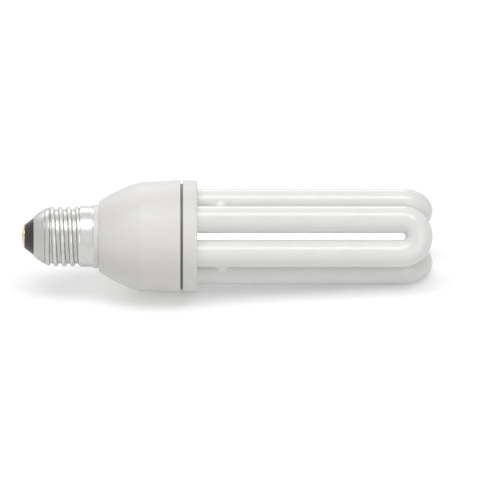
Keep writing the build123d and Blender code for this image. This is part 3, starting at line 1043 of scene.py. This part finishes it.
    def solder(self) -> Body:
        """Make the bead of solder, a little uneven as it froze.

        Returns:
            The object.
        """
        (foot, rim), (plug, bore) = self.solder_foot, self.solder_plug
        turns = [math.pi / 2 * step / self.solder_steps for step in range(1, self.solder_steps + 1)]
        bead = Solid.turned("contact_solder_bead", [
            Corner(plug, 0.0), Corner(plug, bore), Corner(foot, bore), Corner(foot, rim),
            *(Corner(foot - foot * math.sin(turn), rim * math.cos(turn)) for turn in turns)],
            self.solder_around)
        for corner in bead.data.vertices:
            _, across, up = corner.co
            reach = math.hypot(across, up) / MM
            turn = math.atan2(up, across)
            wave = sum(size * math.sin(count * turn + phase) for count, phase, size in self.ripples)
            free = min(1.0, max(0.0, reach - self.ripple_start))
            corner.co.yz = corner.co.yz * (1 + wave * free)
        return bead


@dataclass(frozen=True)
class Legs:
    """Where the legs of the tubes stand: on a circle, as far apart as its radius."""

    circle: float = 14.78
    count: int = 6
    first: float = 30.0

    def place(self, leg: int, height: float = 0.0) -> Vector:
        """The centre of a leg at a height, in metres."""
        turn = math.radians(self.first + 360 / self.count * leg)
        return Vector((TIP + height * MM, self.circle * MM * math.sin(turn),
                       -self.circle * MM * math.cos(turn)))


@dataclass
class Housing:
    """The moulded bowl of the ballast and the cover that holds the tubes."""

    wall: float = 1.6
    neck: tuple[Corner, ...] = (
        Corner(20.0, 9.85, 0.3), Corner(20.0, 11.35, 0.4), Corner(26.0, 11.35, 0.3),
        Corner(26.9, 12.81, 0.3), Corner(31.2, 12.81), Corner(31.2, 13.8, 0.3),
        Corner(33.5, 13.8, 0.25), Corner(33.5, 15.25, 0.45))
    base: Point = (33.5, 15.25)
    bulge_radius: float = 52.0
    bulge_steps: int = 28
    knee: Point = (51.3, 23.45)
    knee_fillet: float = 4.0
    rim: Point = (68.8, 24.5)
    seam_width: float = 1.05
    seam_depth: float = 1.6
    front: Point = (COVER_TOP, 24.24)
    front_fillet: float = 0.8
    plate: float = 1.6
    spigot: Point = (63.4, 20.925)
    spigot_gap: float = 0.15
    edge: float = 0.3
    inner_edge: float = 0.2
    floor_fillet: float = 0.4
    seam_fillet: float = 0.15
    hole: float = 6.05
    lip: float = 0.5
    lip_steps: int = 6
    bore_past: float = 1.0
    socket: Point = (66.5, 7.15)
    socket_short: float = 0.4
    around: int = 192
    socket_around: int = 64
    bore_around: int = 96
    legs: Legs = Legs()
    plastic: MouldedPlastic = MouldedPlastic("white_moulding", White.HOUSING.value, 0.42)

    def build(self) -> None:
        """Make and dress the two mouldings."""
        finish = self.plastic.material()
        dress(self.bowl(), "ballast_housing", finish)
        dress(self.holder(finish), "tube_holder", finish)

    def bowl_arc(self, inset: float, low: float) -> list[Corner]:
        """Follow the bowl's bulging wall from a height up to the knee.

        Args:
            inset: How far inside the outer face it lies.
            low: The lower height.

        Returns:
            Its points.
        """
        centre = bulge_centre(self.base, self.knee, self.bulge_radius)
        radius = self.bulge_radius - inset
        made = []
        for step in range(self.bulge_steps + 1):
            height = low + (self.knee[0] - low) * step / self.bulge_steps
            rise = math.sqrt(radius**2 - (centre.x - height) ** 2)
            made.append(Corner(height, centre.y + rise))
        return made

    def side(self, height: float, inset: float) -> float:
        """Radius of the straight side above the knee, less an inset."""
        share = (height - self.knee[0]) / (self.rim[0] - self.knee[0])
        return self.knee[1] + share * (self.rim[1] - self.knee[1]) - inset

    def bowl(self) -> Body:
        """Make the bowl with its collar and the neck inside the cap.

        Returns:
            The object.
        """
        outer = self.bowl_arc(0.0, self.base[0])[1:-1]
        floor = self.base[0] + self.wall
        inner = self.bowl_arc(self.wall, floor)[::-1]
        rim, outside = self.rim
        return Solid.turned("ballast_housing_bowl", [
            *self.neck, *outer, Corner(*self.knee, self.knee_fillet),
            Corner(rim, outside, self.edge), Corner(rim, outside - self.wall, self.inner_edge),
            *inner, Corner(floor, self.neck[0].radius, self.floor_fillet)], self.around)

    def holder(self, finish: Material) -> Body:
        """Make the cover: spigot, seam groove, band, front plate and six sockets for the tubes.

        Args:
            finish: The moulding's material.

        Returns:
            The object.
        """
        rim, outside = self.rim
        top, front = self.front
        foot, inside = self.spigot
        inset = self.wall + self.spigot_gap
        back = top - self.plate
        seam_top = rim + self.seam_width
        groove = outside - self.seam_depth
        body = Solid.turned("tube_holder_cover", [
            Corner(foot, inside, self.edge), Corner(foot, self.side(foot, inset), self.edge),
            Corner(rim, self.side(rim, inset)), Corner(rim, groove),
            Corner(seam_top, groove, self.seam_fillet), Corner(seam_top, outside, self.edge),
            Corner(top, front, self.front_fillet), Corner(top, 0.0), Corner(back, 0.0),
            Corner(back, inside, self.edge)], self.around)
        blank, bore = self.socket_blank(), self.socket_bore()
        sockets, bores = (around_axis(shape, self.legs.count, self.legs.first, finish)
                          for shape in (blank, bore))
        Solid.joined(body, Join.ADD, sockets)
        return Solid.welded(Solid.joined(body, Join.CUT, bores))

    def socket_blank(self) -> Body:
        """Make the solid cup of one socket, before it is bored.

        Returns:
            The object, below the axis.
        """
        low, wide = self.socket
        high = self.front[0] - self.socket_short
        return Solid.turned("socket", [
            Corner(low, 0.0), Corner(low, wide, self.inner_edge), Corner(high, wide),
            Corner(high, 0.0)], self.socket_around, self.legs.circle)

    def socket_bore(self) -> Body:
        """Make the cutter of one socket, with the sloped lip of its mouth.

        Returns:
            The object, below the axis.
        """
        top = self.front[0]
        low, high = self.socket[0] - self.bore_past, top + self.bore_past
        depths = [self.lip * math.cos(math.pi / 2 * step / self.lip_steps)
                  for step in range(self.lip_steps + 1)]
        mouth = [Corner(top - depth, self.hole + self.lip - depth) for depth in depths]
        return Solid.turned("socket_bore", [
            Corner(low, 0.0), Corner(low, self.hole), *mouth, Corner(high, self.hole + self.lip),
            Corner(high, 0.0)], self.bore_around, self.legs.circle)


@dataclass
class DischargeTube:
    """Three U-bent glass tubes, fused by two short bridges into one vessel."""

    radius: float = 5.9
    bend: float = 164.85
    leg_end: float = 61.5
    dome_rows: int = 10
    leg_rows: int = 26
    bend_rows: int = 48
    around: int = 80
    bridged_legs: tuple[int, ...] = (2, 4)
    bridge_height: float = 86.3
    bridge_radius: float = 2.75
    bridge_flare: float = 0.9
    flare_reach: float = 0.62
    flare_power: float = 2.4
    bridge_rows: int = 36
    bridge_around: int = 48
    pinched_legs: tuple[int, ...] = (0, 1)
    pinch_length: float = 3.4
    pinch_half: Point = (1.3, 4.0)
    pinch_edge: float = 0.3
    pinch_around: int = 40
    tipped_legs: tuple[int, ...] = (2, 3, 4, 5)
    tip_length: float = 2.0
    tip_radius: float = 1.4
    tip_edge: float = 0.4
    tip_root: float = 3.0
    tip_around: int = 32
    crease: float = 40.0
    legs: Legs = Legs()
    glass: CoatedGlass = CoatedGlass("coated_glass", White.COATING.value, 0.055)

    def build(self) -> None:
        """Make and dress the vessel."""
        finish = self.glass.material()
        vessel = around_axis(self.u_tube(finish), self.legs.count // 2, 0.0, finish)
        extras = [self.bridge_from(leg, finish) for leg in self.bridged_legs]
        extras += [self.pinch_at(leg) for leg in self.pinched_legs]
        extras += [self.tip_at(leg) for leg in self.tipped_legs]
        Solid.joined(vessel, Join.ADD, Solid.gathered(extras))
        vessel.name = "discharge_tube_glass"
        dress(Solid.welded(vessel), "discharge_tube", finish, self.crease)

    def u_tube(self, finish: Material) -> Body:
        """Make one tube along its U: two legs, a half-round bend and two domed ends.

        Args:
            finish: The glass.

        Returns:
            The object, with its bend below the axis.
        """
        lengths = {
            "Leg End": self.leg_end, "Bend": self.bend, "Half Span": self.legs.circle / 2,
            "Drop": self.legs.circle * math.cos(math.pi / self.legs.count), "Radius": self.radius}
        sizes = {label: length * MM for label, length in lengths.items()}
        tree = ShapeTree("u_tube", {"Tip": TIP, **sizes})
        radius, span = tree.size("Radius"), tree.size("Half Span")
        leg = tree.size("Bend") - tree.size("Leg End")
        arc = span * math.pi
        stretches = [(self.dome_rows, radius), (self.leg_rows, leg - radius)]
        stretches += [(self.bend_rows, arc), *stretches[::-1]]
        line = tree.socket("GeometryNodeCurvePrimitiveLine")
        path = tree.socket("GeometryNodeResampleCurve", {
            "Curve": line, "Count": sum(rows for rows, _ in stretches) + 1})
        travel: Value | float = 0.0
        start = 0
        for rows, length in stretches:
            passed = (tree.index() - float(start)).held(0.0, float(rows))
            travel = passed * (length / float(rows)) + travel
            start += rows
        angle = ((travel - leg) / span).held(0.0, math.pi)
        past_bend = (travel - leg - arc).math("MAXIMUM", 0.0)
        along = tree.size("Tip") + tree.size("Leg End") + travel.math("MINIMUM", leg) - past_bend
        spot = tree.join(along + span * angle.math("SINE"), span * angle.math("COSINE") * -1.0,
                         tree.size("Drop") * -1.0)
        from_end = travel.math("MINIMUM", leg * 2.0 + arc - travel) / radius
        short = 1.0 - from_end.held(0.0, 1.0)
        swell = (1.0 - short * short).math("MAXIMUM", 0.0) ** 0.5
        skin = tree.piped(tree.moved(path, spot), radius, self.around, swell, False)
        return Solid.welded(tree.made(tree.sealed(skin, TUBE_WELD), finish), TUBE_WELD)

    def bridge_from(self, leg: int, finish: Material) -> Body:
        """Make the short tube from a leg to the next, flared where the glass was fused.

        Args:
            leg: The first leg's number.
            finish: The glass.

        Returns:
            The object.
        """
        start, end = (tuple(self.legs.place(number, self.bridge_height))
                      for number in (leg, leg + 1))
        gap = self.legs.circle - 2 * self.radius
        tree = ShapeTree(f"bridge_{leg}", {
            "Radius": self.bridge_radius * MM, "Flare": self.bridge_flare * MM, "Gap": gap * MM,
            "Span": self.legs.circle * MM})
        line = tree.socket("GeometryNodeCurvePrimitiveLine", {"Start": start, "End": end})
        path = tree.socket("GeometryNodeResampleCurve",
                           {"Curve": line, "Count": self.bridge_rows + 1})
        share = tree.index() / float(self.bridge_rows)
        away = (share - 0.5).math("ABSOLUTE") * tree.size("Span")
        near = (away / (tree.size("Gap") * self.flare_reach)).held(0.0, 1.0)
        scale = 1.0 + near ** self.flare_power * (tree.size("Flare") / tree.size("Radius"))
        skin = tree.piped(path, tree.size("Radius"), self.bridge_around, scale, True)
        return Solid.welded(tree.made(skin, finish))

    def pinch_at(self, leg: int) -> Body:
        """Make the flat pinch at the end of a leg, round the electrode's leads.

        Args:
            leg: The leg's number.

        Returns:
            The object.
        """
        low, high = self.leg_end - self.pinch_length, self.leg_end + self.radius
        thick, wide = self.pinch_half
        pinch = Solid.turned(f"pinch_{leg}", [
            Corner(low, 0.0), Corner(low, 1.0, self.pinch_edge), Corner(high, 1.0),
            Corner(high, 0.0)], self.pinch_around)
        centre = self.legs.place(leg)
        out = Vector((0.0, centre.y, centre.z)).normalized()
        side = Vector((0.0, -out.z, out.y))
        for corner in pinch.data.vertices:
            _, across, up = corner.co
            corner.co.yz = (out * (across * thick) + side * (up * wide) + centre).yz
        return Solid.welded(pinch)

    def tip_at(self, leg: int) -> Body:
        """Make the pulled-off sealing tip at the end of a leg.

        Args:
            leg: The leg's number.

        Returns:
            The object.
        """
        low, root = self.leg_end - self.tip_length, self.leg_end + self.tip_root
        tip = Solid.turned(f"tip_{leg}", [
            Corner(low, 0.0), Corner(low, self.tip_radius / 2, self.tip_edge),
            Corner(root, self.tip_radius), Corner(root, 0.0)], self.tip_around)
        centre = self.legs.place(leg)
        for corner in tip.data.vertices:
            corner.co.yz = (corner.co + centre).yz
        return Solid.welded(tip)


@dataclass
class Ballast:
    """The circuit board, what stands on it, and the wires, which keep their own shapes."""

    tin: Colour = colour(0.46, 0.46, 0.44)

    def finishes(self) -> dict[str, Finish]:
        """The finish of each hidden piece, by the piece's name."""
        return {
            "tube_adhesive": Compound("white_silicone", colour(0.70, 0.70, 0.67), 0.55,
                                      speckle=0.05),
            "circuit_board": Laminate("paper_laminate", colour(0.50, 0.33, 0.15), 0.5),
            "wrap_pins": StampedMetal("tinned_pins", colour(0.74, 0.73, 0.70), 0.30, self.tin),
            "tube_leads": StampedMetal("tinned_lead_wire", colour(0.70, 0.69, 0.66), 0.28,
                                       self.tin),
            "reservoir_capacitor": Compound("black_shrink_sleeve", colour(0.02, 0.02, 0.03), 0.35),
            "choke_core": Compound("grey_ferrite", colour(0.045, 0.043, 0.042), 0.5),
            "choke_bobbin": Compound("black_bobbin_nylon", colour(0.02, 0.02, 0.02), 0.4),
            "choke_winding": WoundWire("enamelled_choke_wire", colour(0.72, 0.30, 0.12), 0.3),
            "drive_toroid": Compound("green_toroid_coat", colour(0.03, 0.22, 0.10), 0.42),
            "toroid_windings": WoundWire("enamelled_drive_wire", colour(0.70, 0.27, 0.10), 0.3,
                                         turns=1800.0, direction=(0.0, 0.6, 0.8)),
            "power_transistors": Compound("black_epoxy", colour(0.018, 0.018, 0.018), 0.5),
            "film_capacitors": Compound("red_dip_epoxy", colour(0.42, 0.05, 0.02), 0.28),
            "filter_inductor": Compound("dark_inductor_sleeve", colour(0.03, 0.035, 0.03), 0.38),
            "rectifier_diodes": Compound("black_diode_epoxy", colour(0.02, 0.02, 0.021), 0.42),
            "board_resistors": Compound("beige_lacquer", colour(0.62, 0.46, 0.28), 0.34),
            "trigger_diode": Compound("blue_lacquer", colour(0.03, 0.10, 0.32), 0.3),
            "fusible_resistor": Compound("green_lacquer", colour(0.08, 0.26, 0.14), 0.4),
            "live_lead": Compound("red_wire_cover", colour(0.50, 0.02, 0.02), 0.38),
            "neutral_lead": Compound("black_wire_cover", colour(0.015, 0.015, 0.016), 0.38),
        }

    def build(self) -> None:
        """Give every hidden piece its finish."""
        for node, finish in self.finishes().items():
            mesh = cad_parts[node].data
            material = finish.material()
            if not mesh.materials:
                mesh.materials.append(material)
            for place in range(len(mesh.materials)):
                mesh.materials[place] = material
            log.info("%s: %s", node, material.name)


@dataclass(frozen=True)
class SoftBox:
    """A soft light: where it hangs, its length and width, and its level at the lamp, in metres."""

    name: str
    place: tuple[float, float, float]
    face: Point
    level: float

    def hang(self, aim: Vector) -> None:
        """Make the light and turn it to a point.

        Args:
            aim: The point, which its place is measured from.
        """
        away = Vector(self.place)
        data = bpy.data.lights.new(self.name, "AREA")
        data.shape = "RECTANGLE"
        data.size, data.size_y = self.face
        data.energy = self.level * math.pi**2 * away.length_squared
        light = bpy.data.objects.new(self.name, data)
        bpy.context.scene.collection.objects.link(light)
        light.location = aim + away
        light.rotation_euler = (-away).to_track_quat("-Z", "Y").to_euler()


@dataclass
class Studio:
    """Floor, soft lights, pale surroundings and the camera of the side view."""

    rests: tuple[Point, Point] = ((75.4, -24.26), (172.6, -18.70))
    tilted: Point = (-60.0, 215.0)
    tilt_ease: float = 35.0
    stations: int = 60
    floor_reach: float = 4.0
    floor_roughness: float = 0.7
    floor_specular: float = 0.2
    floor_glow: float = 0.34
    fade: Point = (0.16, 0.42)
    surroundings: float = 0.34
    elevation: float = 30.0
    image_pixels: int = 480
    pixel: float = 0.43333
    middle: float = 94.63
    axis_rise: float = 1.517
    distance: float = 1.2
    lights: tuple[SoftBox, ...] = (
        SoftBox("key_light", (-0.05, -0.24, 1.06), (1.30, 0.50), 0.60),
        SoftBox("fill_light", (0.55, -0.95, 0.35), (0.80, 0.60), 0.15),
        SoftBox("back_light", (-0.25, 0.90, 0.55), (1.00, 0.45), 0.20))

    def build(self) -> None:
        """Set the stage, the lights and the camera."""
        scene = bpy.context.scene
        scene.view_settings.view_transform = "Standard"
        aim = Vector((TIP + self.middle * MM, 0.0, 0.0))
        for light in self.lights:
            light.hang(aim)
        self.floor(aim)
        scene.world = self.world()
        scene.camera = self.camera(aim)

    @staticmethod
    def seen(tree: Tree) -> Value:
        """Tell apart the rays that show the background, directly or in gloss and glass.

        Args:
            tree: The tree of the floor's material or the world.

        Returns:
            1 for those rays and 0 for others.
        """
        path = tree.node("ShaderNodeLightPath")
        direct, gloss, glass = (tree.value(path, f"Is {kind} Ray")
                                for kind in ("Camera", "Glossy", "Transmission"))
        return direct.math("MAXIMUM", gloss).math("MAXIMUM", glass)

    def eased(self, past: float) -> float:
        """Round a bend from level to a slope of one.

        Args:
            past: Distance past the bend's middle.

        Returns:
            How far the slope has risen there.
        """
        if abs(past) >= self.tilt_ease:
            return max(0.0, past)
        return (past + self.tilt_ease) ** 2 / (4 * self.tilt_ease)

    def floor_height(self, along: float) -> float:
        """How high the floor lies: tilted under the lamp, level beyond it, eased between.

        Args:
            along: Distance from the tip along the lamp.

        Returns:
            The height.
        """
        (near, low), (far, high) = self.rests
        start, end = self.tilted
        travel = start + self.eased(along - start) - self.eased(along - end)
        return low + (high - low) / (far - near) * (travel - near)

    def floor(self, aim: Vector) -> None:
        """Make a wide pale sheet that touches the housing's rim and the lowest tube.

        Args:
            aim: The middle of the stage.
        """
        start, end = self.tilted[0] - self.tilt_ease, self.tilted[1] + self.tilt_ease
        alongs = [start + (end - start) * step / self.stations
                  for step in range(self.stations + 1)]
        line = [(TIP + along * MM, self.floor_height(along) * MM) for along in alongs]
        line = [(aim.x - self.floor_reach, line[0][1]), *line,
                (aim.x + self.floor_reach, line[-1][1])]
        corners = [Vector((x, side * self.floor_reach, z)) for x, z in line for side in (-1, 1)]
        faces = [(2 * place, 2 * place + 2, 2 * place + 3, 2 * place + 1)
                 for place in range(len(line) - 1)]
        sheet = Solid.from_faces("floor_sheet", corners, faces)
        if sheet.data.polygons[0].normal.z < 0.0:
            sheet.data.flip_normals()
        sheet.data.shade_smooth()
        sheet.data.materials.append(self.paint(aim))

    def paint(self, aim: Vector) -> Material:
        """Make the floor's matt white, lifted where it is seen, and plain white away and below.

        Args:
            aim: The middle of the stage.

        Returns:
            The material.
        """
        made = bpy.data.materials.new("pale_floor")
        tree = Tree.of(made)
        matt = tree.socket("ShaderNodeBsdfPrincipled", {
            "Base Color": White.FLOOR.value, "Roughness": self.floor_roughness,
            "Specular IOR Level": self.floor_specular})
        glow = tree.socket("ShaderNodeEmission", {"Strength": self.floor_glow})
        both = tree.socket("ShaderNodeAddShader", {0: matt, 1: glow})
        seen = self.seen(tree)
        shown = tree.socket("ShaderNodeMixShader", {0: seen, 1: matt, 2: both})
        white = tree.socket("ShaderNodeEmission", {"Strength": 1.0})
        below = tree.value(tree.node("ShaderNodeNewGeometry"), "Backfacing")
        along, across, _ = tree.split(tree.node("ShaderNodeTexCoord").outputs["Object"])
        along = along - aim.x
        reach = (along * along + across * across) ** 0.5
        plain = below.math("MAXIMUM", reach.step(*self.fade)) * seen
        either = tree.socket("ShaderNodeMixShader", {0: plain, 1: shown, 2: white})
        tree.node("ShaderNodeOutputMaterial", {"Surface": either})
        return made

    def world(self) -> bpy.types.World:
        """Make even pale surroundings, white where they are seen.

        Returns:
            The world.
        """
        made = bpy.data.worlds.new("studio")
        tree = Tree.of(made)
        level = self.surroundings + self.seen(tree) * (1.0 - self.surroundings)
        light = tree.socket("ShaderNodeBackground",
                            {"Color": colour(1.0, 1.0, 1.0), "Strength": level})
        tree.node("ShaderNodeOutputWorld", {"Surface": light})
        return made

    def camera(self, aim: Vector) -> Body:
        """Make the drawing's parallel view, from the front and above.

        Args:
            aim: The middle of the view along the lamp, on its axis.

        Returns:
            The camera.
        """
        rise = math.radians(self.elevation)
        back = Vector((0.0, -math.cos(rise), math.sin(rise)))
        up = Vector((0.0, math.sin(rise), math.cos(rise)))
        data = bpy.data.cameras.new("side_view")
        data.type = "ORTHO"
        data.ortho_scale = self.image_pixels * self.pixel * MM
        made = bpy.data.objects.new("side_view", data)
        bpy.context.scene.collection.objects.link(made)
        made.location = aim - up * self.axis_rise * MM + back * self.distance
        made.rotation_euler = (-back).to_track_quat("-Z", "Y").to_euler()
        return made


def main() -> None:
    """Build the lamp's sub-assemblies and the studio."""
    logging.basicConfig(level=logging.INFO, format="%(message)s")
    for assembly in (ScrewCap(), Housing(), DischargeTube(), Ballast(), Studio()):
        log.info("building %s", type(assembly).__name__)
        assembly.build()


if __name__ == "__main__":
    main()
